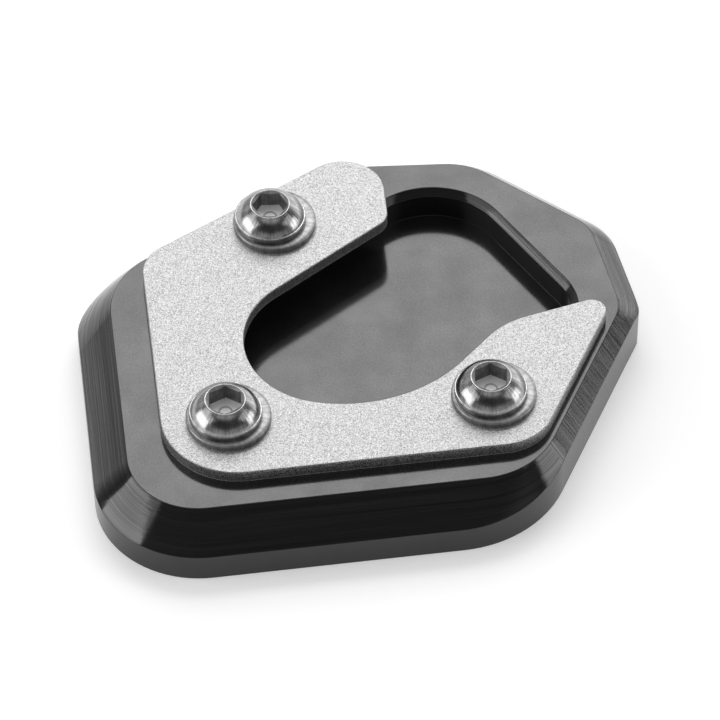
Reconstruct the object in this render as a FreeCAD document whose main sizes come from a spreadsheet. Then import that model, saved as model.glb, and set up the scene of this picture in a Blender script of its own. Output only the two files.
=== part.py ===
"""Kickstand foot enlarger: a bevelled aluminium base with a pocket for the foot of the stand,
a U-shaped clamp plate over the rim of the foot, and three button-head screws with washers."""
import FreeCAD, Part
import Sketcher
import math
import os

os.makedirs("parts", exist_ok=True)
doc = FreeCAD.newDocument("kickstand_foot_enlarger")

# Driving sizes, in millimetres and degrees

SIZES = {
    # Base: overall sizes through the origin, the narrow right side between its two slanting
    # neighbours, and how far from the left end the left back side leaves the back
    "base_length": 82.15,
    "base_depth": 71.4,
    "base_height": 9.5,
    "base_middle_x": 0.125,
    "right_side_start": 0.07,
    "right_side_width": 14.9,
    "left_back_cut": 40.11,
    "right_front_lean": 30.4,
    "right_lean": 6.3,
    "right_back_lean": 46.4,
    "back_lean": 5.4,
    "left_back_lean": 62.3,
    "left_lean": 1.0,
    "front_left_round": 15.3,
    "front_right_round": 18.0,
    "right_round": 3.2,
    "right_back_round": 9.8,
    "back_right_round": 13.0,
    "back_left_round": 9.0,
    "left_back_round": 9.0,
    # Bevel: how far each side leans in, how far down it runs, and how much its corner rounds grow
    # for each millimetre down
    "front_bevel_inset": 5.0,
    "front_bevel_drop": 5.0,
    "right_front_bevel_inset": 2.1,
    "right_front_bevel_drop": 2.7,
    "right_bevel_inset": 3.4,
    "right_bevel_drop": 2.7,
    "right_back_bevel_inset": 2.65,
    "right_back_bevel_drop": 2.7,
    "back_bevel_inset": 2.8,
    "back_bevel_drop": 2.8,
    "left_back_bevel_inset": 2.05,
    "left_back_bevel_drop": 2.7,
    "left_bevel_inset": 5.0,
    "left_bevel_drop": 5.0,
    "bevel_form_spare": 1.25,
    "front_left_growth_ratio": 1.0,
    "front_right_growth_ratio": 1.7,
    "right_growth_ratio": 1.0,
    "right_back_growth_ratio": 1.0,
    "back_right_growth_ratio": 1.0,
    "back_left_growth_ratio": 1.0,
    "left_back_growth_ratio": 1.4,
    "front_left_top_round": 10.3,
    "front_right_top_round": 12.4,
    "right_top_round": 7.0,
    "right_back_top_round": 6.6,
    "back_right_top_round": 10.1,
    "back_left_top_round": 6.2,
    "left_back_top_round": 12.0,
    # Clamp plate: set back from the top edge of the base, thickness, corner rounds
    "plate_thickness": 2.0,
    "plate_edge_break": 0.12,
    "front_margin": 4.05,
    "right_front_margin": 1.0,
    "left_margin": 5.25,
    "left_back_margin": 0.9,
    "plate_front_left_round": 11.2,
    "plate_front_right_round": 8.0,
    "plate_left_back_round": 5.8,
    "right_tip_round": 2.1,
    "arm_end_round": 6.3,
    "arm_end_reach": 5.8,
    "arm_end_lean": 2.7,
    "arm_end_corner_round": 3.1,
    # Opening of the clamp plate, round the leg of the stand. The upper arm's edge is measured from
    # the middle of the base's back, the others from the origin
    "upper_arm_from_back": 17.33,
    "upper_arm_lean": 32.6,
    "lower_arm_reach": 16.35,
    "lower_arm_lean": 43.05,
    "tip_back_reach": 7.5,
    "tip_back_lean": 11.85,
    "opening_left_round": 12.5,
    "opening_left_centre_x": -4.95,
    "opening_front_round": 22.2,
    "lower_arm_shoulder_round": 12.5,
    # Pocket for the foot: it runs under the clamp plate by a lip
    "pocket_depth": 5.0,
    "pocket_rim_bevel": 1.0,
    "pocket_right_cut": 26.93,
    "pocket_right_lean": 27.75,
    "pocket_front_reach": 17.3,
    "pocket_front_lean": 25.0,
    "pocket_left_reach": 18.3,
    "pocket_left_lean": 19.0,
    "upper_lip": 4.0,
    "pocket_back_round": 10.9,
    "pocket_right_round": 9.0,
    "pocket_left_round": 14.0,
    "pocket_front_round": 12.0,
    # Screws and washers
    "rear_screw_from_left": 30.25,
    "rear_screw_from_back": 14.85,
    "rear_screw_turn": 52.5,
    "rear_washer_slip": 0.62,
    "front_left_screw_from_left": 19.25,
    "front_left_screw_from_front": 19.35,
    "front_left_screw_turn": 22.5,
    "front_left_washer_slip": 0.4,
    "front_right_screw_x": 16.3,
    "front_right_screw_y": -17.35,
    "front_right_screw_turn": 22.5,
    "front_right_washer_slip": 0.46,
    "thread_radius": 3.0,
    "thread_end_bevel": 0.5,
    "screw_length": 10.0,
    "thread_hole_spare_depth": 0.8,
    "plate_hole_clearance": 0.3,
    "head_radius": 5.25,
    "head_height": 3.3,
    "head_rim_height": 1.0,
    "head_dome_bulge": 0.32,
    "socket_ring_radius": 2.85,
    "socket_ring_drop": 0.22,
    "socket_flat_distance": 2.3,
    "socket_depth": 2.6,
    "washer_radius": 6.1,
    "washer_thickness": 1.0,
    "washer_bore_clearance": 0.7,
    "washer_edge_break": 0.15,
}

sheet = doc.addObject("Spreadsheet::Sheet", "Sizes")
for row, (word, number) in enumerate(SIZES.items(), start=1):
    sheet.set(f"A{row}", word)
    sheet.set(f"B{row}", str(number))
    sheet.setAlias(f"B{row}", word)
doc.recompute()


class Size:
    """A number, kept with the formula that gives it from the sheet."""

    def __init__(self, value, formula):
        self.value = value
        self.formula = formula

    def join(self, sign, other, value):
        return Size(value, f"({self.formula} {sign} {other.formula})")

    def __add__(self, other):
        return self.join("+", other, self.value + other.value)

    def __sub__(self, other):
        return self.join("-", other, self.value - other.value)

    def __mul__(self, other):
        return self.join("*", other, self.value * other.value)

    def __truediv__(self, other):
        return self.join("/", other, self.value / other.value)

    def cos(self):
        return Size(math.cos(math.radians(self.value)), f"cos({self.formula})")

    def sin(self):
        return Size(math.sin(math.radians(self.value)), f"sin({self.formula})")


def size(word):
    """A cell of the sheet."""
    return Size(getattr(sheet, word), f"Sizes.{word}")


def plain(number):
    """A fixed number such as a quarter turn."""
    return Size(number, str(number))


def bind(thing, prop, wanted):
    """Ties a property to its formula."""
    thing.setExpression(prop, wanted.formula)


# Outlines: each side has a direction of travel, a distance from the origin and a round at its end

def origin_plane(body, role):
    """One of the body's own origin planes."""
    return next(item for item in body.Origin.OriginFeatures if item.Role == role)


def add_sketch(body, name, height=None, role="XY_Plane"):
    """A sketch on one of the body's own planes, raised by a bound height."""
    sketch = body.newObject("Sketcher::SketchObject", name)
    sketch.AttachmentSupport = [(origin_plane(body, role), "")]
    sketch.MapMode = "FlatFace"
    if height is not None:
        sketch.AttachmentOffset = FreeCAD.Placement(FreeCAD.Vector(0, 0, height.value), FreeCAD.Rotation())
        bind(sketch, "AttachmentOffset.Base.z", height)
    return sketch


def crossing(out_a, reach_a, out_b, reach_b):
    """Where two lines cross, each given by its normal and its distance from the origin."""
    cross = out_a.x * out_b.y - out_a.y * out_b.x
    x = (reach_a * out_b.y - reach_b * out_a.y) / cross
    y = (reach_b * out_a.x - reach_a * out_b.x) / cross
    return FreeCAD.Vector(x, y, 0)


def arc_between(centre, radius, first, last, left_turn):
    """An arc from one direction seen from its centre to another."""
    if not left_turn:
        first, last = last, first
    start = math.atan2(first.y, first.x)
    end = math.atan2(last.y, last.x)
    if end < start:
        end += 2 * math.pi
    return Part.ArcOfCircle(Part.Circle(centre, FreeCAD.Vector(0, 0, 1), radius), start, end)


def single_round(out_a, reach_a, out_b, reach_b, radius, left_turn):
    """A round between two sides: its centre and arc."""
    inward = radius if left_turn else -radius
    centre = crossing(out_a, reach_a - inward, out_b, reach_b - inward)
    side = 1 if left_turn else -1
    return [centre], [arc_between(centre, radius, out_a * side, out_b * side, left_turn)]


def double_round(out_a, way_a, reach_a, out_b, reach_b, radius_a, radius_b, centre_x):
    """Two rounds that flow into one another round the inside of a U."""
    centre_y = (reach_b + radius_b - out_b.x * centre_x) / out_b.y
    centre_b = FreeCAD.Vector(centre_x, centre_y, 0)
    foot = out_a * (reach_a + radius_a)
    along = way_a.dot(centre_b - foot)
    off = (centre_b - foot - way_a * along).Length
    centre_a = foot + way_a * (along - math.sqrt((radius_a - radius_b) ** 2 - off ** 2))
    meeting = (centre_b - centre_a).normalize()
    arc_a = arc_between(centre_a, radius_a, out_a * -1, meeting, False)
    arc_b = arc_between(centre_b, radius_b, meeting, out_b * -1, False)
    return [centre_a, centre_b], [arc_a, arc_b]


def draw_outline(sketch, sides):
    """Draws a closed outline counter-clockwise. A side is a name, a heading, a distance from the
    origin and the round after it: a radius, or two radii and the second one's centre along X."""
    count = len(sides)
    headings = [math.radians(side[1].value) for side in sides]
    ways = [FreeCAD.Vector(math.cos(a), math.sin(a), 0) for a in headings]
    outs = [FreeCAD.Vector(way.y, -way.x, 0) for way in ways]
    reaches = [side[2].value for side in sides]
    corners = []
    for i in range(count):
        j = (i + 1) % count
        rounds = sides[i][3]
        if len(rounds) == 1:
            left_turn = math.sin(headings[j] - headings[i]) > 0
            centres, arcs = single_round(outs[i], reaches[i], outs[j], reaches[j],
                                         rounds[0].value, left_turn)
        else:
            left_turn = False
            centres, arcs = double_round(outs[i], ways[i], reaches[i], outs[j], reaches[j],
                                         rounds[0].value, rounds[1].value, rounds[2].value)
        start = outs[i] * reaches[i] + ways[i] * ways[i].dot(centres[0])
        end = outs[j] * reaches[j] + ways[j] * ways[j].dot(centres[-1])
        corners.append((start, end, arcs, left_turn))
    lines = [Part.LineSegment(corners[i - 1][1], corners[i][0]) for i in range(count)]
    sketch.addGeometry(lines, False)
    rules = []
    bound = []
    for i, (word, heading, reach, rounds) in enumerate(sides):
        start, end, arcs, left_turn = corners[i]
        entry, leave = (1, 2) if left_turn else (2, 1)
        before, point = i, 2
        for number, arc in enumerate(arcs):
            index = sketch.addGeometry(arc, False)
            rules.append(Sketcher.Constraint("Tangent", before, point, index, entry))
            rules.append(Sketcher.Constraint("Radius", index, rounds[number].value))
            bound.append((len(rules) - 1, f"{word}_round{number}", rounds[number].formula))
            before, point = index, leave
        rules.append(Sketcher.Constraint("Tangent", before, point, (i + 1) % count, 1))
        if len(rounds) == 3:
            rules.append(Sketcher.Constraint("DistanceX", -1, 1, before, 3, rounds[2].value))
            bound.append((len(rules) - 1, f"{word}_centre", rounds[2].formula))
        angle = math.atan2(ways[i].y, ways[i].x)
        whole_turns = round((math.degrees(angle) - heading.value) / 360)
        rules.append(Sketcher.Constraint("Angle", i, angle))
        bound.append((len(rules) - 1, f"{word}_heading", f"{heading.formula} + {360 * whole_turns}"))
        rules.append(Sketcher.Constraint("Distance", -1, 1, i, abs(reach.value)))
        bound.append((len(rules) - 1, f"{word}_reach", f"abs({reach.formula})"))
    sketch.addConstraint(rules)
    for index, name, formula in bound:
        sketch.renameConstraint(index, name)
        sketch.setExpression(f"Constraints.{name}", formula)


# Sides of the base: their headings and distances, from the overall sizes and the corners they meet

QUARTER_TURN = 90
NOTHING = plain(0)


def square(quarter_turns, lean, sign=1):
    """A heading that leans from square."""
    start = plain(QUARTER_TURN * quarter_turns)
    if sign > 0:
        return start + size(lean)
    return start - size(lean)


FRONT = plain(0)
RIGHT_FRONT = square(1, "right_front_lean", -1)
RIGHT = square(1, "right_lean")
RIGHT_BACK = square(1, "right_back_lean")
BACK = square(2, "back_lean", -1)
LEFT_BACK = square(3, "left_back_lean", -1)
LEFT = square(3, "left_lean", -1)

half_depth = size("base_depth") / plain(2)
half_length = size("base_length") / plain(2)
right_end = half_length + size("base_middle_x")
left_end = half_length - size("base_middle_x")


def reach_through(x, y, word):
    """Distance from the origin of a side through a point, by its lean."""
    lean = size(word)
    return x * lean.cos() + y * lean.sin()


right_side_start = size("right_side_start")
right_side_end = right_side_start + size("right_side_width")
right_front_reach = reach_through(right_end, NOTHING - right_side_start, "right_front_lean")
right_back_reach = reach_through(right_end, right_side_end, "right_back_lean")
left_back_reach = reach_through(left_end - size("left_back_cut"), half_depth, "left_back_lean")

# Each side of the base: its heading, its distance from the origin and the corner after it
BASE_SIDES = {
    "front": (FRONT, half_depth, "front_right"),
    "right_front": (RIGHT_FRONT, right_front_reach, "right"),
    "right": (RIGHT, right_end, "right_back"),
    "right_back": (RIGHT_BACK, right_back_reach, "back_right"),
    "back": (BACK, half_depth, "back_left"),
    "left_back": (LEFT_BACK, left_back_reach, "left_back"),
    "left": (LEFT, left_end, "front_left"),
}


def top_reach(side):
    """Distance of a side of the base's top face."""
    return BASE_SIDES[side][1] - size(f"{side}_bevel_inset")


def bevel_slope(side):
    """How far a bevel runs out for each millimetre down."""
    return size(f"{side}_bevel_inset") / size(f"{side}_bevel_drop")


height = size("base_height")
form_depth = size("front_bevel_drop") + size("bevel_form_spare")
wall_sides = []
top_sides = []
foot_sides = []
for side, (heading, reach, corner) in BASE_SIDES.items():
    round_below = size(f"{corner}_round")
    round_above = size(f"{corner}_top_round")
    foot_reach = top_reach(side) + bevel_slope(side) * form_depth
    round_foot = round_above + size(f"{corner}_growth_ratio") * form_depth
    wall_sides.append((side, heading, reach, (round_below,)))
    top_sides.append((side, heading, top_reach(side), (round_above,)))
    foot_sides.append((side, heading, foot_reach, (round_foot,)))


# Bevelled body: a straight wall, trimmed by a form that slopes out from the top face to just
# below the deepest bevel, and stands clear of the wall from there down

bevel_form = doc.addObject("PartDesign::Body", "bevel_form")
bevel_foot = add_sketch(bevel_form, "bevel_foot", height - form_depth)
draw_outline(bevel_foot, foot_sides)
bevel_top = add_sketch(bevel_form, "bevel_top", height)
draw_outline(bevel_top, top_sides)
slopes = bevel_form.newObject("PartDesign::AdditiveLoft", "slopes")
slopes.Profile = bevel_foot
slopes.Sections = [bevel_top]
slopes.Ruled = True
skirt = bevel_form.newObject("PartDesign::Pad", "skirt")
skirt.Profile = bevel_foot
skirt.Reversed = True
bind(skirt, "Length", height - form_depth)

base = doc.addObject("PartDesign::Body", "base_plate")
wall_outline = add_sketch(base, "wall_outline")
draw_outline(wall_outline, wall_sides)
wall = base.newObject("PartDesign::Pad", "wall")
wall.Profile = wall_outline
bind(wall, "Length", height)
doc.recompute()
bevelled = base.newObject("PartDesign::Boolean", "bevelled")
bevelled.Type = "Common"
bevelled.setObjects([bevel_form])
doc.recompute()

# Clamp plate outline, set back from the top face of the base

UPPER_ARM = square(0, "upper_arm_lean")
LOWER_ARM = square(2, "lower_arm_lean")
TIP_BACK = square(2, "tip_back_lean")
ARM_END = square(1, "arm_end_lean", -1)

upper_arm_reach = half_depth * size("upper_arm_lean").cos() - size("upper_arm_from_back")
plate_sides = [
    ("front", FRONT, top_reach("front") - size("front_margin"), (size("plate_front_right_round"),)),
    ("right_front", RIGHT_FRONT, top_reach("right_front") - size("right_front_margin"),
     (size("right_tip_round"),)),
    ("tip_back", TIP_BACK, NOTHING - size("tip_back_reach"), (size("lower_arm_shoulder_round"),)),
    ("lower_arm", LOWER_ARM, NOTHING - size("lower_arm_reach"),
     (size("opening_front_round"), size("opening_left_round"), size("opening_left_centre_x"))),
    ("upper_arm", UPPER_ARM, NOTHING - upper_arm_reach, (size("arm_end_corner_round"),)),
    ("arm_end", ARM_END, size("arm_end_reach"), (size("arm_end_round"),)),
    ("left_back", LEFT_BACK, top_reach("left_back") - size("left_back_margin"),
     (size("plate_left_back_round"),)),
    ("left", LEFT, top_reach("left") - size("left_margin"), (size("plate_front_left_round"),)),
]

# Pocket outline: it runs under the clamp plate, parallel to the upper arm

pocket_right_reach = reach_through(right_end - size("pocket_right_cut"), half_depth, "pocket_right_lean")
pocket_sides = [
    ("pocket_front", square(0, "pocket_front_lean"), size("pocket_front_reach"),
     (size("pocket_right_round"),)),
    ("pocket_right", square(1, "pocket_right_lean"), pocket_right_reach, (size("pocket_back_round"),)),
    ("pocket_upper", square(2, "upper_arm_lean"), upper_arm_reach + size("upper_lip"),
     (size("pocket_left_round"),)),
    ("pocket_left", square(4, "pocket_left_lean", -1), size("pocket_left_reach"),
     (size("pocket_front_round"),)),
]
pocket_outline = add_sketch(base, "pocket_outline", height)
draw_outline(pocket_outline, pocket_sides)
pocket = base.newObject("PartDesign::Pocket", "foot_pocket")
pocket.Profile = pocket_outline
bind(pocket, "Length", size("pocket_depth"))
doc.recompute()


def edges_at(feature, z, inner):
    """Names of the edges of the flat face at a height: its inner loops, or its outer one."""
    shape = feature.Shape
    names = []
    for face in shape.Faces:
        box = face.BoundBox
        if box.ZLength > 1e-6 or abs(box.ZMin - z) > 1e-6:
            continue
        for wire in face.Wires:
            if wire.isSame(face.OuterWire) == inner:
                continue
            for edge in wire.Edges:
                names += [f"Edge{n}" for n, other in enumerate(shape.Edges, start=1) if other.isSame(edge)]
    return names


rim_bevel = base.newObject("PartDesign::Chamfer", "pocket_rim")
rim_bevel.Base = (pocket, edges_at(pocket, height.value, True))
bind(rim_bevel, "Size", size("pocket_rim_bevel"))
doc.recompute()


def draw_circles(sketch, circles):
    """Draws circles from a name, a centre and a radius each."""
    for word, x, y, radius in circles:
        circle = Part.Circle(FreeCAD.Vector(x.value, y.value, 0), FreeCAD.Vector(0, 0, 1), radius.value)
        index = sketch.addGeometry(circle, False)
        for kind, rule, wanted in (
            ("radius", Sketcher.Constraint("Radius", index, radius.value), radius),
            ("x", Sketcher.Constraint("DistanceX", -1, 1, index, 3, x.value), x),
            ("y", Sketcher.Constraint("DistanceY", -1, 1, index, 3, y.value), y),
        ):
            number = sketch.addConstraint(rule)
            sketch.renameConstraint(number, f"{word}_{kind}")
            sketch.setExpression(f"Constraints.{word}_{kind}", wanted.formula)


# Threaded holes under the three screws: two keep their distance from the base's sides, and the
# front right one stays beside the opening

SCREWS = {
    "rear": (size("rear_screw_from_left") - left_end, half_depth - size("rear_screw_from_back")),
    "front_left": (size("front_left_screw_from_left") - left_end,
                   size("front_left_screw_from_front") - half_depth),
    "front_right": (size("front_right_screw_x"), size("front_right_screw_y")),
}
thread_radius = size("thread_radius")
plate_thickness = size("plate_thickness")
washer_thickness = size("washer_thickness")
screw_length = size("screw_length")
seat_height = height + plate_thickness

holes_below = add_sketch(base, "thread_hole_circles", height)
draw_circles(holes_below, [(f"{word}_hole", x, y, thread_radius) for word, (x, y) in SCREWS.items()])
thread_holes = base.newObject("PartDesign::Pocket", "thread_holes")
thread_holes.Profile = holes_below
bind(thread_holes, "Length",
     screw_length - plate_thickness - washer_thickness + size("thread_hole_spare_depth"))
base.Tip = thread_holes
doc.recompute()

# Clamp plate

plate = doc.addObject("PartDesign::Body", "clamp_plate")
plate.Placement = FreeCAD.Placement(FreeCAD.Vector(0, 0, height.value), FreeCAD.Rotation())
bind(plate, "Placement.Base.z", height)
plate_outline = add_sketch(plate, "plate_outline")
draw_outline(plate_outline, plate_sides)
plate_blank = plate.newObject("PartDesign::Pad", "plate_blank")
plate_blank.Profile = plate_outline
bind(plate_blank, "Length", plate_thickness)
doc.recompute()
plate_edges = plate.newObject("PartDesign::Chamfer", "plate_edges")
plate_edges.Base = (plate_blank, edges_at(plate_blank, plate_thickness.value, False)
                    + edges_at(plate_blank, 0.0, False))
bind(plate_edges, "Size", size("plate_edge_break"))
doc.recompute()
holes_above = add_sketch(plate, "screw_hole_circles", plate_thickness)
clear_radius = thread_radius + size("plate_hole_clearance")
draw_circles(holes_above, [(f"{word}_hole", x, y, clear_radius) for word, (x, y) in SCREWS.items()])
plate_holes = plate.newObject("PartDesign::Pocket", "screw_holes")
plate_holes.Profile = holes_above
plate_holes.Type = "ThroughAll"
doc.recompute()


# Button-head screws with a hexagon socket, and their washers

def draw_profile(sketch, corners, arc_start, bulge):
    """Draws a closed half section; the edge that starts at the corner arc_start bulges out."""
    count = len(corners)
    arc_from = corners.index(arc_start)
    points = [FreeCAD.Vector(x.value, y.value, 0) for x, y in corners]
    for i in range(count):
        j = (i + 1) % count
        if i != arc_from:
            sketch.addGeometry(Part.LineSegment(points[i], points[j]), False)
            continue
        chord = points[j] - points[i]
        out = FreeCAD.Vector(chord.y, -chord.x, 0).normalize()
        middle = (points[i] + points[j]) * 0.5 + out * bulge.value
        arc = Part.Arc(points[i], middle, points[j])
        sketch.addGeometry(arc, False)
    for i in range(count):
        j = (i + 1) % count
        sketch.addConstraint(Sketcher.Constraint("Coincident", i, 2, j, 1))
    for i, (x, y) in enumerate(corners):
        for kind, wanted in (("DistanceX", x), ("DistanceY", y)):
            number = sketch.addConstraint(Sketcher.Constraint(kind, -1, 1, i, 1, wanted.value))
            name = f"corner{i}_{kind[-1].lower()}"
            sketch.renameConstraint(number, name)
            sketch.setExpression(f"Constraints.{name}", wanted.formula)
    arc_end = corners[arc_from + 1]
    run = arc_start[0] - arc_end[0]
    rise = arc_end[1] - arc_start[1]
    dome = bulge / plain(2) + (run * run + rise * rise) / (plain(8) * bulge)
    number = sketch.addConstraint(Sketcher.Constraint("Radius", arc_from, dome.value))
    sketch.renameConstraint(number, "dome")
    sketch.setExpression("Constraints.dome", dome.formula)


head_radius = size("head_radius")
head_height = size("head_height")
head_rim_height = size("head_rim_height")
ring_radius = size("socket_ring_radius")
socket_flat = size("socket_flat_distance")
socket_edge_height = head_height - size("socket_ring_drop")
end_bevel = size("thread_end_bevel")
DOME_START = (head_radius, head_rim_height)
SCREW_PROFILE = [
    (NOTHING, NOTHING - screw_length),
    (thread_radius - end_bevel, NOTHING - screw_length),
    (thread_radius, end_bevel - screw_length),
    (thread_radius, NOTHING),
    (head_radius, NOTHING),
    DOME_START,
    (ring_radius, head_height),
    (socket_flat, socket_edge_height),
    (NOTHING, socket_edge_height),
]


def place(body, x, y, z, turn=None):
    """Places a body at bound coordinates, turned about its upright axis."""
    angle = turn.value if turn else 0
    spin = FreeCAD.Rotation(FreeCAD.Vector(0, 0, 1), angle)
    body.Placement = FreeCAD.Placement(FreeCAD.Vector(x.value, y.value, z.value), spin)
    bind(body, "Placement.Base.x", x)
    bind(body, "Placement.Base.y", y)
    bind(body, "Placement.Base.z", z)
    if turn:
        bind(body, "Placement.Rotation.Angle", turn)


def make_screw(word, x, y):
    """A screw whose head rests on its washer."""
    body = doc.addObject("PartDesign::Body", f"{word}_screw")
    profile = add_sketch(body, f"{word}_screw_profile", role="XZ_Plane")
    draw_profile(profile, SCREW_PROFILE, DOME_START, size("head_dome_bulge"))
    turned = body.newObject("PartDesign::Revolution", f"{word}_turned")
    turned.Profile = profile
    turned.ReferenceAxis = (profile, ["V_Axis"])
    turned.Angle = 360
    doc.recompute()
    hexagon = add_sketch(body, f"{word}_hexagon", head_height)
    corner = socket_flat.value / math.cos(math.pi / 6)
    points = []
    for n in range(6):
        a = n * math.pi / 3
        points.append(FreeCAD.Vector(corner * math.cos(a), corner * math.sin(a), 0))
    for n in range(6):
        hexagon.addGeometry(Part.LineSegment(points[n], points[(n + 1) % 6]), False)
    for n in range(6):
        way = points[(n + 1) % 6] - points[n]
        hexagon.addConstraint(Sketcher.Constraint("Coincident", n, 2, (n + 1) % 6, 1))
        hexagon.addConstraint(Sketcher.Constraint("Angle", n, math.atan2(way.y, way.x)))
        number = hexagon.addConstraint(Sketcher.Constraint("Distance", -1, 1, n, socket_flat.value))
        hexagon.renameConstraint(number, f"flat{n}")
        hexagon.setExpression(f"Constraints.flat{n}", socket_flat.formula)
    socket = body.newObject("PartDesign::Pocket", f"{word}_socket")
    socket.Profile = hexagon
    bind(socket, "Length", size("socket_depth"))
    place(body, x, y, seat_height + washer_thickness, size(f"{word}_screw_turn"))
    return body


def make_washer(word, x, y):
    """A flat washer that has slipped a little to one side of its screw."""
    body = doc.addObject("PartDesign::Body", f"{word}_washer")
    rings = add_sketch(body, f"{word}_rings")
    draw_circles(rings, [
        ("edge", NOTHING, NOTHING, size("washer_radius")),
        ("bore", NOTHING, NOTHING, thread_radius + size("washer_bore_clearance")),
    ])
    disc = body.newObject("PartDesign::Pad", f"{word}_disc")
    disc.Profile = rings
    bind(disc, "Length", washer_thickness)
    doc.recompute()
    edges = body.newObject("PartDesign::Chamfer", f"{word}_washer_edges")
    edges.Base = (disc, edges_at(disc, washer_thickness.value, False) + edges_at(disc, 0.0, False))
    bind(edges, "Size", size("washer_edge_break"))
    place(body, x + size(f"{word}_washer_slip"), y, seat_height)
    return body


pieces = [base, plate]
for word, (x, y) in SCREWS.items():
    pieces.append(make_screw(word, x, y))
    pieces.append(make_washer(word, x, y))
doc.recompute()

# Every object is sound before anything is written

for thing in doc.Objects:
    if "Invalid" in thing.State or "Error" in thing.State:
        raise RuntimeError(f"{thing.Name} failed: {thing.State}")
for piece in pieces:
    shape = piece.Shape
    if shape.isNull() or not shape.isValid() or len(shape.Solids) != 1:
        raise RuntimeError(f"{piece.Label} has no single sound solid")
for piece in pieces:
    piece.Shape.exportStep(f"parts/{piece.Label}.step")
    box = piece.Shape.optimalBoundingBox(True, False)
    print(f"{piece.Label}: volume {piece.Shape.Volume:.2f}, x {box.XMin:.2f} to {box.XMax:.2f},"
          f" y {box.YMin:.2f} to {box.YMax:.2f}, z {box.ZMin:.2f} to {box.ZMax:.2f}")
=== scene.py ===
"""Looks of the kickstand foot enlarger: glossy black base, blasted plate, bright screws and washers."""
import bpy
import bmesh
import math
from mathutils import Matrix, Vector


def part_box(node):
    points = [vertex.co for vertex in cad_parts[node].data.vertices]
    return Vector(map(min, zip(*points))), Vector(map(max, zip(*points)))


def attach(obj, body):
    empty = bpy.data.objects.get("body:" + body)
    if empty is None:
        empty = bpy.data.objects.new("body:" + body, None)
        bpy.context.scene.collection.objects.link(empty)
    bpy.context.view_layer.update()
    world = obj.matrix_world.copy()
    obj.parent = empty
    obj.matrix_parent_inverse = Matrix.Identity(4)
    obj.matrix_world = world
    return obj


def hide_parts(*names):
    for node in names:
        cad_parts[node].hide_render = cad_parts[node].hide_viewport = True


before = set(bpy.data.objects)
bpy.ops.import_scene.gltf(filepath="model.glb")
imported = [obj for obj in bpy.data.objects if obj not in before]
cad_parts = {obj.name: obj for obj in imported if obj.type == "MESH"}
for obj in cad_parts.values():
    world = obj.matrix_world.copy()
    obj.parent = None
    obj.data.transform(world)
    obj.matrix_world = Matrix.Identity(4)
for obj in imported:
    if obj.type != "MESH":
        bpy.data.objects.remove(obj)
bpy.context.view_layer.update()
MM = 0.001
scene = bpy.context.scene
scene.view_settings.view_transform = "Standard"


def metres(*sizes):
    return [size * MM for size in sizes]


# Base and plate: sizes in millimetres, heights from the table

BASE_EASE = 0.1
PLATE_EASE = 0.05
BEVEL_MIDDLE = 7
# Painted highlight along the foot of the plate's walls: the heights where it fades out
FOOT_GLINT_HEIGHTS = (9.64, 9.76)
RIGHT_FRONT = (0.8625, -0.506)  # the way out of the base's right front side

# Screws: radius and height in millimetres, from the middle of the seat. A hexagon ring, marked
# True, has half its width across the flats in place of the radius.

SHANK = [(2.5, -10), (3.0, -9.5), (3.0, 0)]
RIM = [(5.05, 0), (5.18, 0.06), (5.25, 0.2), (5.25, 0.88), (5.23, 0.95), (5.18, 0.99), (5.04, 1.0)]
DOME_FOOT, DOME_TOP = 5.04, 2.85
DOME_START, DOME_RISE = 1.0, 2.3
DOME_BULGE = 0.32
DOME_STEPS = 15
SOCKET_LIP = [(2.93, 3.29), (2.86, 3.3), (2.79, 3.29), (2.74, 3.25)]
MOUTH_RADIUS, MOUTH_HEIGHT, MOUTH_SLOPE = 2.74, 3.22, 0.4
SOCKET_FLAT = 2.3
SOCKET_FLOOR = [(2.26, 0.75, True), (2.2, 0.7, True)]
DRILL_MARK = [(1.55, 0.7), (1.45, 0.66), (1.35, 0.62), (0.6, 0.56), (0.05, 0.5)]
SCREW_TONE, SCREW_ROUGHNESS = 0.32, 0.15

# Washers: radius and height in millimetres; the top falls off a little round the head

WASHER_THICKNESS = 1.0
WASHER = [(3.7, 0.1), (3.8, 0), (6.0, 0), (6.07, 0.03), (6.1, 0.12), (6.1, 0.74), (6.07, 0.86),
          (5.96, 0.94), (5.25, 1.0), (3.85, 1.0), (3.75, 0.97), (3.7, 0.88), (3.7, 0.1)]
WASHER_TONE, WASHER_ROUGHNESS = 0.28, 0.34

# Each screw's centre, its turn in degrees and how far its washer has slipped to the right

FASTENERS = {
    "rear": {"centre": (-10.7, 20.85), "turn": 52.5, "slip": 0.62},
    "front_left": {"centre": (-21.7, -16.35), "turn": 22.5, "slip": 0.4},
    "front_right": {"centre": (16.3, -17.35), "turn": 22.5, "slip": 0.46},
}

# Mesh work: angles in degrees, merging distances in millimetres

ROUND_STEPS = 96
SOLID_MERGE, SKIN_MERGE = 0.001, 0.0005
SAME_FACE_ANGLE, EASED_ANGLE = 0.3, 20
SHARP_ON_SOLIDS, SHARP_ON_TURNED = 32, 40

# Camera: a long lens, 48 degrees above the table and 7.5 degrees off square

AIM = Vector((0.1, 2.42, 0)) * MM
YAW, RISE, ROLL = math.radians(7.492), math.radians(48.077), math.radians(-0.428)
CAMERA_DISTANCE = 663.8 * MM
SENSOR_WIDTH = 36
LENS_IN_PIXELS, PICTURE_WIDTH = 4502, 720

# Soft boxes: azimuth from the camera's right and rise in degrees; distance, width and height in
# metres; how bright

SOFT_BOXES = {
    "back_box": (90, 48, 1.0, 0.92, 0.52, 3.4),
    "left_low_box": (189, 15, 0.8, 0.62, 0.42, 3.15),
    "left_high_box": (189, 40, 0.8, 0.62, 0.36, 1.3),
    "right_low_box": (-1.9, 10, 0.6, 0.31, 0.375, 2.7),
    "right_high_box": (-8, 40, 0.8, 0.50, 0.34, 0.8),
}

# Shader arithmetic


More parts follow.
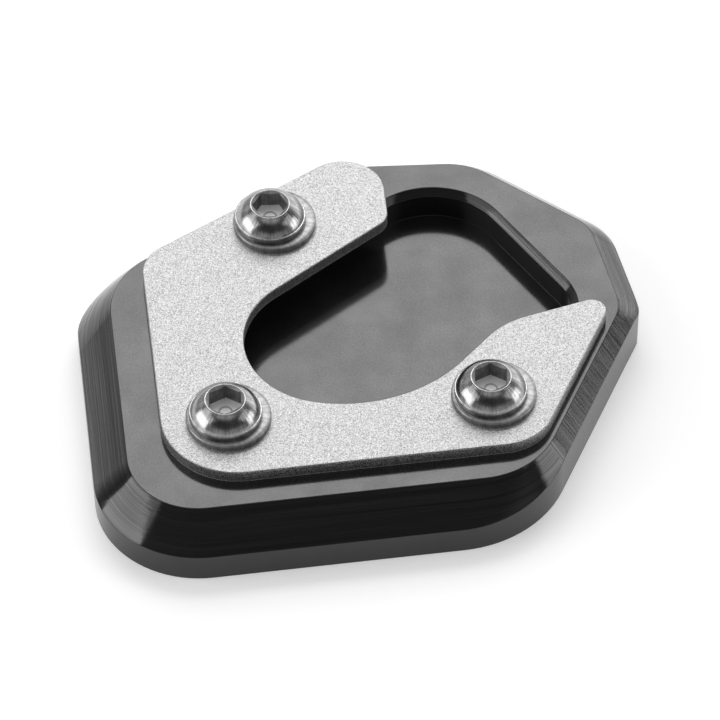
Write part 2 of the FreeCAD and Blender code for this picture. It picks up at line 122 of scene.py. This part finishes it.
class Shade:
    """An output socket; arithmetic on it adds Math nodes."""

    def __init__(self, finish, socket):
        self.finish = finish
        self.socket = socket

    def math(self, operation, *others, clamp=False):
        values = dict(enumerate((self, *others)))
        return self.finish.node("ShaderNodeMath", values, operation=operation, use_clamp=clamp)

    def __add__(self, other):
        return self.math("ADD", other)

    __radd__ = __add__

    def __sub__(self, other):
        return self.math("SUBTRACT", other)

    def __rsub__(self, other):
        values = {0: other, 1: self}
        return self.finish.node("ShaderNodeMath", values, operation="SUBTRACT")

    def __mul__(self, other):
        return self.math("MULTIPLY", other)

    __rmul__ = __mul__

    def __truediv__(self, other):
        return self.math("DIVIDE", other)

    def share(self):
        """The value held between 0 and 1."""
        return self.math("MAXIMUM", 0.0, clamp=True)

    def step(self, low, high):
        """0 below low, 1 above high, eased between."""
        values = {"Value": self, "From Min": low, "From Max": high}
        return self.finish.node("ShaderNodeMapRange", values, interpolation_type="SMOOTHSTEP")


class Finish:
    """The nodes of a material, or of the world."""

    def __init__(self, name, world=None):
        self.holder = world or bpy.data.materials.new(name)
        self.holder.use_nodes = True
        self.tree = self.holder.node_tree
        self.tree.nodes.clear()

    def node(self, kind, values=None, out=0, **settings):
        """Adds a node: settings first, then a value or a link on each named socket."""
        made = self.tree.nodes.new(kind)
        for name, value in settings.items():
            setattr(made, name, value)
        for name, value in (values or {}).items():
            if isinstance(value, Shade):
                self.tree.links.new(value.socket, made.inputs[name])
            else:
                made.inputs[name].default_value = value
        return Shade(self, made.outputs[out])

    def end(self, shader, output="ShaderNodeOutputMaterial"):
        last = self.tree.nodes.new(output)
        self.tree.links.new(shader.socket, last.inputs["Surface"])
        return self.holder

    def place(self):
        return self.node("ShaderNodeTexCoord", out="Object")

    def facing(self):
        """The X, Y and Z of the way that the surface faces."""
        return self.split(self.node("ShaderNodeNewGeometry", out="Normal"))

    def split(self, vector):
        """The X, Y and Z of a vector."""
        made = self.tree.nodes.new("ShaderNodeSeparateXYZ")
        self.tree.links.new(vector.socket, made.inputs[0])
        return [Shade(self, made.outputs[n]) for n in range(3)]

    def join(self, x, y, z):
        return self.node("ShaderNodeCombineXYZ", {"X": x, "Y": y, "Z": z})

    def stretch(self, vector, x, y, z):
        return self.node("ShaderNodeMapping", {"Vector": vector, "Scale": (x, y, z)})

    def noise(self, vector, scale=1.0, detail=2.0, roughness=0.5):
        values = {"Vector": vector, "Scale": scale, "Detail": detail, "Roughness": roughness}
        return self.node("ShaderNodeTexNoise", values, out="Fac")

    def bump(self, height, depth, strength=1.0):
        """A bump whose depth is in millimetres."""
        values = {"Height": height, "Distance": depth * MM, "Strength": strength}
        return self.node("ShaderNodeBump", values)

    def greys(self, share, low, high):
        """A grey between two, by a share from 0 to 1."""
        made = self.tree.nodes.new("ShaderNodeMix")
        made.data_type = "RGBA"
        self.tree.links.new(share.socket, made.inputs[0])
        made.inputs[6].default_value = (low, low, low, 1)
        made.inputs[7].default_value = (high, high, high, 1)
        return Shade(self, made.outputs[2])


# Finishes; the patterns' scales are in noise cells to the metre

MILLING_LINES, BROAD_LINES = 5200, 1500
DYE_GRAIN, DYE_CLOUD = 4200, 180
BLAST_SPECKLE, BLAST_FLECK = 7000, 2400
STEEL_SMEAR = 900


def black_anodised():
    """Glossy black anodised aluminium, with milling lines that follow the bevels."""
    look = Finish("black_anodised")
    place = look.place()
    x, y, z = look.split(place)
    nx, ny, nz = look.facing()
    out_x, out_y = RIGHT_FRONT

    # Which form a point lies on
    flat = nz.step(0.9, 0.97)
    wall = 1 - nz.math("ABSOLUTE").step(0.2, 0.35)
    bevel = (1 - flat) * (1 - wall)
    sideways = (nx * nx + ny * ny).math("SQRT")
    right_front = ((nx * out_x + ny * out_y) / sideways).step(0.985, 0.997)

    # Lines run along the bevels, but down the slope on the right front one
    fine = look.noise(look.stretch(place, 30, 30, MILLING_LINES), 1.0, 3.0, 0.6)
    broad = look.noise(look.stretch(place, 12, 12, BROAD_LINES))
    along = x * -out_y + y * out_x
    across = x * out_x + y * out_y
    hatching = look.noise(look.join(along * MILLING_LINES, across * 60, z * 60)) * 1.5 - 0.25
    lines = (fine * 0.6 + broad * 0.4) * (1 - right_front) + hatching * right_front
    grain = look.noise(place, DYE_GRAIN, 2.0, 0.6)
    cloud = look.noise(place, DYE_CLOUD, 3.0, 0.55)

    # The bevels are crowned a little, as their reflections show
    from_middle = (z - BEVEL_MIDDLE * MM) / MM
    crown = from_middle * from_middle * 0.8
    height = (lines * 2.0 - crown) * bevel + grain * (1 - bevel) * 0.3
    rough = 0.11 + cloud * 0.03 + grain * 0.03 + bevel * (fine * 0.04 - 0.07) + wall * 0.08
    film_on_bevel = bevel * (lines * 4.4 - 2.0)
    film_on_flat = flat * (cloud * 0.7 + grain - 0.57)
    film_on_wall = wall * (grain * 0.3 - 0.1)
    dye = bevel * (lines * 2.6 - 0.8) + (1 - bevel) * cloud
    values = {
        "Base Color": look.greys(dye.share(), 0.008, 0.022),
        "Roughness": rough,
        "Normal": look.bump(height, 0.012),
        "IOR": 1.5,
        "Coat Weight": (film_on_bevel + film_on_flat + film_on_wall).share(),
        "Coat Roughness": 0.1,
    }
    return look.end(look.node("ShaderNodeBsdfPrincipled", values))


def blasted_aluminium():
    """Blasted aluminium: fine bright speckle; painted shade makes the walls darker, and a painted
    highlight runs along their foot.
    """
    look = Finish("blasted_aluminium")
    place = look.place()
    height_here = look.split(place)[2]
    face = look.facing()[2].math("ABSOLUTE").step(0.75, 0.95)
    # Painted highlight: a light line along the foot of the walls, lighter in colour and barely metallic
    foot = (1 - face) * (1 - height_here.step(*metres(*FOOT_GLINT_HEIGHTS)))
    speckle = look.noise(place, BLAST_SPECKLE)
    fleck_values = {"Vector": place, "Scale": BLAST_FLECK}
    fleck = look.node("ShaderNodeTexVoronoi", fleck_values, out="Distance")
    # Painted shade: the walls take a darker colour than the top face; the foot's painted highlight is
    # added on top
    tone_with_painted_light = face * (speckle * 1.9 - 0.43) + (1 - face) * (speckle * 3.0 - 1.2) + foot
    values = {
        "Base Color": look.greys(tone_with_painted_light.share(), 0.13, 0.72),
        "Metallic": 0.95 + face * 0.05 - foot * 0.9,
        "Roughness": 0.5 + face * 0.04,
        "Normal": look.bump(speckle * 0.7 + fleck * 0.5, 0.03, 0.8),
    }
    return look.end(look.node("ShaderNodeBsdfPrincipled", values))


def bright_steel(name, centre, level, rough):
    """Turned steel with fine streaks out from the middle, darkened in the socket by painted shade, and
    a duller socket floor made lighter by painted light.
    """
    look = Finish(name)
    values = {"Vector": look.place(), "Location": (-centre[0], -centre[1], 0)}
    place = look.node("ShaderNodeMapping", values)
    x, y, z = look.split(place)
    angle = y.math("ARCTAN2", x)
    radius = (x * x + y * y).math("SQRT")

    # The socket, its floor, and the edge of the drill mark on it
    inside = 1 - radius.step(*metres(2.66, 2.8))
    upward = look.facing()[2].step(0.6, 0.9)
    floor = inside * upward * (1 - z.step(*metres(14, 15)))
    drill_edge = radius.step(*metres(0.7, 0.85)) * (1 - radius.step(*metres(0.95, 1.15)))

    streaks = look.noise(look.join(angle * 14, z * 120, 0.0), 1.0, 3.0, 0.6)
    smear = look.noise(place, STEEL_SMEAR, 3.0, 0.6)
    # Painted shade: the steel's colour is 30% darker inside the socket
    streaks_and_socket_shade = (streaks + smear - 0.2) * (1 - inside * 0.3) * (level * 1.3)
    # Painted light: the socket floor's colour is lighter, less so over a ring at the drill mark's edge
    tone_with_painted_light = streaks_and_socket_shade + floor * (0.8 - drill_edge * 0.45)
    values = {
        "Base Color": look.greys(tone_with_painted_light.share(), 0.0, 1.0),
        "Metallic": 1.0,
        "Roughness": rough + smear * 0.06 + streaks * 0.06 + inside * 0.3 + floor * 0.25,
        "Normal": look.bump(streaks + smear * (0.4 + inside * 1.6), 0.012, 0.7),
    }
    return look.end(look.node("ShaderNodeBsdfPrincipled", values))


def white_table():
    """White table: its colour is lifted where it is seen, directly or in a reflection."""
    look = Finish("white_table")
    rays = ("Is Camera Ray", "Is Glossy Ray", "Is Transmission Ray")
    camera, glossy, transmission = [look.node("ShaderNodeLightPath", out=ray) for ray in rays]
    values = {
        "Base Color": (0.8, 0.8, 0.8, 1),
        "Roughness": 0.6,
        "Specular IOR Level": 0.1,
        "Emission Color": (1, 1, 1, 1),
        "Emission Strength": (camera + glossy + transmission).math("MINIMUM", 1.0) * 0.35,
    }
    return look.end(look.node("ShaderNodeBsdfPrincipled", values))


# Pieces


def take_material(piece, material):
    piece.data.materials.clear()
    piece.data.materials.append(material)


def finish_mesh(bm, name, replaced, material, sharp):
    """Makes a piece of the object from a bmesh, smooth over all but its sharp edges."""
    for face in bm.faces:
        face.smooth = True
    for edge in bm.edges:
        edge.smooth = not edge.is_manifold or edge.calc_face_angle(0) < math.radians(sharp)
    mesh = bpy.data.meshes.new(name)
    bm.to_mesh(mesh)
    bm.free()
    piece = bpy.data.objects.new(name, mesh)
    scene.collection.objects.link(piece)
    even = piece.modifiers.new("even_faces", "WEIGHTED_NORMAL")
    even.weight = 100
    even.keep_sharp = True
    take_material(piece, material)
    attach(piece, "root")
    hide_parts(replaced)
    return piece


def eased_copy(node, name, material, width):
    """A merged copy of a solid with its sharp edges eased by a width in millimetres."""
    bm = bmesh.new()
    bm.from_mesh(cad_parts[node].data)
    bmesh.ops.remove_doubles(bm, verts=bm.verts, dist=SOLID_MERGE * MM)
    bmesh.ops.dissolve_limit(bm, angle_limit=math.radians(SAME_FACE_ANGLE), verts=bm.verts,
                             edges=bm.edges)
    eased_edges = [edge for edge in bm.edges
                   if edge.is_manifold and edge.calc_face_angle(0) > math.radians(EASED_ANGLE)]
    bmesh.ops.bevel(bm, geom=eased_edges, offset=width * MM, segments=2, profile=0.5,
                    affect="EDGES", clamp_overlap=True, material=-1)
    return finish_mesh(bm, name, node, material, SHARP_ON_SOLIDS)


def hexagon_lead_in(radius):
    """Height of the socket's mouth, which dips towards the middle of each flat."""
    return MOUTH_HEIGHT - (MOUTH_RADIUS - radius) * MOUTH_SLOPE


def dome():
    """The dome's outline from its foot to the socket's lip, bulged out of the straight line."""
    inward = DOME_FOOT - DOME_TOP
    slope_length = math.hypot(inward, DOME_RISE)
    outline = []
    for step in range(1, DOME_STEPS):
        share = step / DOME_STEPS
        lift = 4 * DOME_BULGE * share * (1 - share)
        radius = DOME_FOOT - inward * share + lift * DOME_RISE / slope_length
        height = DOME_START + DOME_RISE * share + lift * inward / slope_length
        outline.append((radius, height))
    return outline


def shape_ring(verts, size, z, hexagon=False):
    """Puts a ring of points on a circle, or on a hexagon by the distance of its flats."""
    for vert in verts:
        turn = math.atan2(vert.co.y, vert.co.x)
        radius = size / math.cos(turn % (math.pi / 3) - math.pi / 6) if hexagon else size
        rise = z(radius) if callable(z) else z
        vert.co = Vector((math.cos(turn) * radius, math.sin(turn) * radius, rise)) * MM


def turned_skin(rings):
    """A skin drawn out ring by ring; each ring is a size, a height and whether it is a hexagon."""
    bm = bmesh.new()
    verts = bmesh.ops.create_circle(bm, segments=ROUND_STEPS, radius=1.0)["verts"]
    edges = list(bm.edges)
    shape_ring(verts, *rings[0])
    for ring in rings[1:]:
        made = bmesh.ops.extrude_edge_only(bm, edges=edges)["geom"]
        verts = [part for part in made if isinstance(part, bmesh.types.BMVert)]
        fresh = set(verts)
        edges = [part for part in made
                 if isinstance(part, bmesh.types.BMEdge) and fresh.issuperset(part.verts)]
        shape_ring(verts, *ring)
    return bm


def settle(bm, centre, seat, turn=0):
    """Closes what is open, turns the faces outward and puts the piece in its place."""
    bmesh.ops.remove_doubles(bm, verts=bm.verts, dist=SKIN_MERGE * MM)
    bmesh.ops.holes_fill(bm, edges=[edge for edge in bm.edges if edge.is_boundary])
    bmesh.ops.recalc_face_normals(bm, faces=bm.faces)
    spin = Matrix.Rotation(math.radians(turn), 4, "Z")
    bmesh.ops.transform(bm, matrix=Matrix.Translation((*centre, seat)) @ spin, verts=bm.verts)


def screw(word, centre, seat, turn):
    """A button-head screw: rounded rim, domed top, ring round the socket, hexagon, drill mark."""
    socket = [(SOCKET_FLAT, hexagon_lead_in, True), *SOCKET_FLOOR]
    bm = turned_skin(SHANK + RIM + dome() + SOCKET_LIP + socket + DRILL_MARK)
    settle(bm, centre, seat, turn)
    steel = bright_steel(f"{word}_screw_steel", centre, SCREW_TONE, SCREW_ROUGHNESS)
    return finish_mesh(bm, f"{word}_screw_look", f"{word}_screw", steel,
                       SHARP_ON_TURNED)


def washer(word, centre, seat):
    """A washer with eased edges."""
    bm = turned_skin(WASHER)
    settle(bm, centre, seat)
    steel = bright_steel(f"{word}_washer_steel", centre, WASHER_TONE, WASHER_ROUGHNESS)
    return finish_mesh(bm, f"{word}_washer_look", f"{word}_washer", steel,
                       SHARP_ON_TURNED)


def place_fasteners():
    """The three screws and their washers, on top of the clamp plate."""
    plate_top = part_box("clamp_plate")[1].z
    for word, spot in FASTENERS.items():
        x, y = metres(*spot["centre"])
        screw(word, (x, y), plate_top + WASHER_THICKNESS * MM, spot["turn"])
        washer(word, (x + spot["slip"] * MM, y), plate_top)


# Table, camera and light


def build_table():
    bm = bmesh.new()
    bmesh.ops.create_grid(bm, x_segments=1, y_segments=1, size=2.0)
    mesh = bpy.data.meshes.new("table")
    bm.to_mesh(mesh)
    bm.free()
    table = bpy.data.objects.new("table", mesh)
    scene.collection.objects.link(table)
    take_material(table, white_table())


def place_camera():
    level = math.cos(RISE)
    ahead = Vector((math.sin(YAW) * level, math.cos(YAW) * level, -math.sin(RISE)))
    side = Vector((math.cos(YAW), -math.sin(YAW), 0))
    up = side.cross(ahead)
    right = side * math.cos(ROLL) + up * math.sin(ROLL)
    top = up * math.cos(ROLL) - side * math.sin(ROLL)
    data = bpy.data.cameras.new("camera")
    data.sensor_width = SENSOR_WIDTH
    data.lens = LENS_IN_PIXELS * SENSOR_WIDTH / PICTURE_WIDTH
    data.clip_start = 0.05
    camera = bpy.data.objects.new("camera", data)
    turn = Matrix((right, top, -ahead)).transposed().to_4x4()
    camera.matrix_world = Matrix.Translation(AIM - ahead * CAMERA_DISTANCE) @ turn
    scene.collection.objects.link(camera)
    scene.camera = camera


def soft_box(name, azimuth, rise, distance, width, height, level):
    """A soft box that faces the object from an azimuth and a rise."""
    light = bpy.data.lights.new(name, "AREA")
    light.shape = "RECTANGLE"
    light.size = width
    light.size_y = height
    light.energy = level * math.pi * width * height
    lamp = bpy.data.objects.new(name, light)
    around, lift = math.radians(azimuth) - YAW, math.radians(rise)
    flat = math.cos(lift)
    way = Vector((math.cos(around) * flat, math.sin(around) * flat, math.sin(lift)))
    turn = way.to_track_quat("Z", "Y").to_matrix().to_4x4()
    lamp.matrix_world = Matrix.Translation(way * distance) @ turn
    scene.collection.objects.link(lamp)


def studio_glow():
    """A dim room: brighter behind, high at the two back corners, overhead, and low in front."""
    sky = bpy.data.worlds.new("studio")
    scene.world = sky
    look = Finish("studio", sky)
    wx, wy, wz = look.split(look.node("ShaderNodeTexCoord", out="Generated"))

    def towards(azimuth):
        """How nearly a direction points to an azimuth from the camera's right."""
        around = math.radians(azimuth) - YAW
        return wx * math.cos(around) + wy * math.sin(around)

    low = 1 - wz.step(0.0, 0.16)
    behind = towards(90).step(0.3, 0.6) * (0.42 + low * 0.2)
    behind_right = towards(51).step(0.8, 0.97) * (0.9 + low)
    back_corners = towards(140).step(0.7, 0.95) + towards(50).step(0.75, 0.95)
    high = wz.step(0.2, 0.4) * back_corners * 0.4
    in_front = towards(270).step(0.2, 0.8) * (1 - wz.step(0.2, 0.45)) * 0.4
    overhead = wz.step(0.8, 0.97) * 0.6
    glow = 0.05 + behind + behind_right + high + in_front + overhead
    values = {"Color": (1, 1, 1, 1), "Strength": glow}
    look.end(look.node("ShaderNodeBackground", values), "ShaderNodeOutputWorld")


eased_copy("base_plate", "base_look", black_anodised(), BASE_EASE)
eased_copy("clamp_plate", "plate_look", blasted_aluminium(), PLATE_EASE)
place_fasteners()
build_table()
place_camera()
for box_name, box in SOFT_BOXES.items():
    soft_box(box_name, *box)
studio_glow()
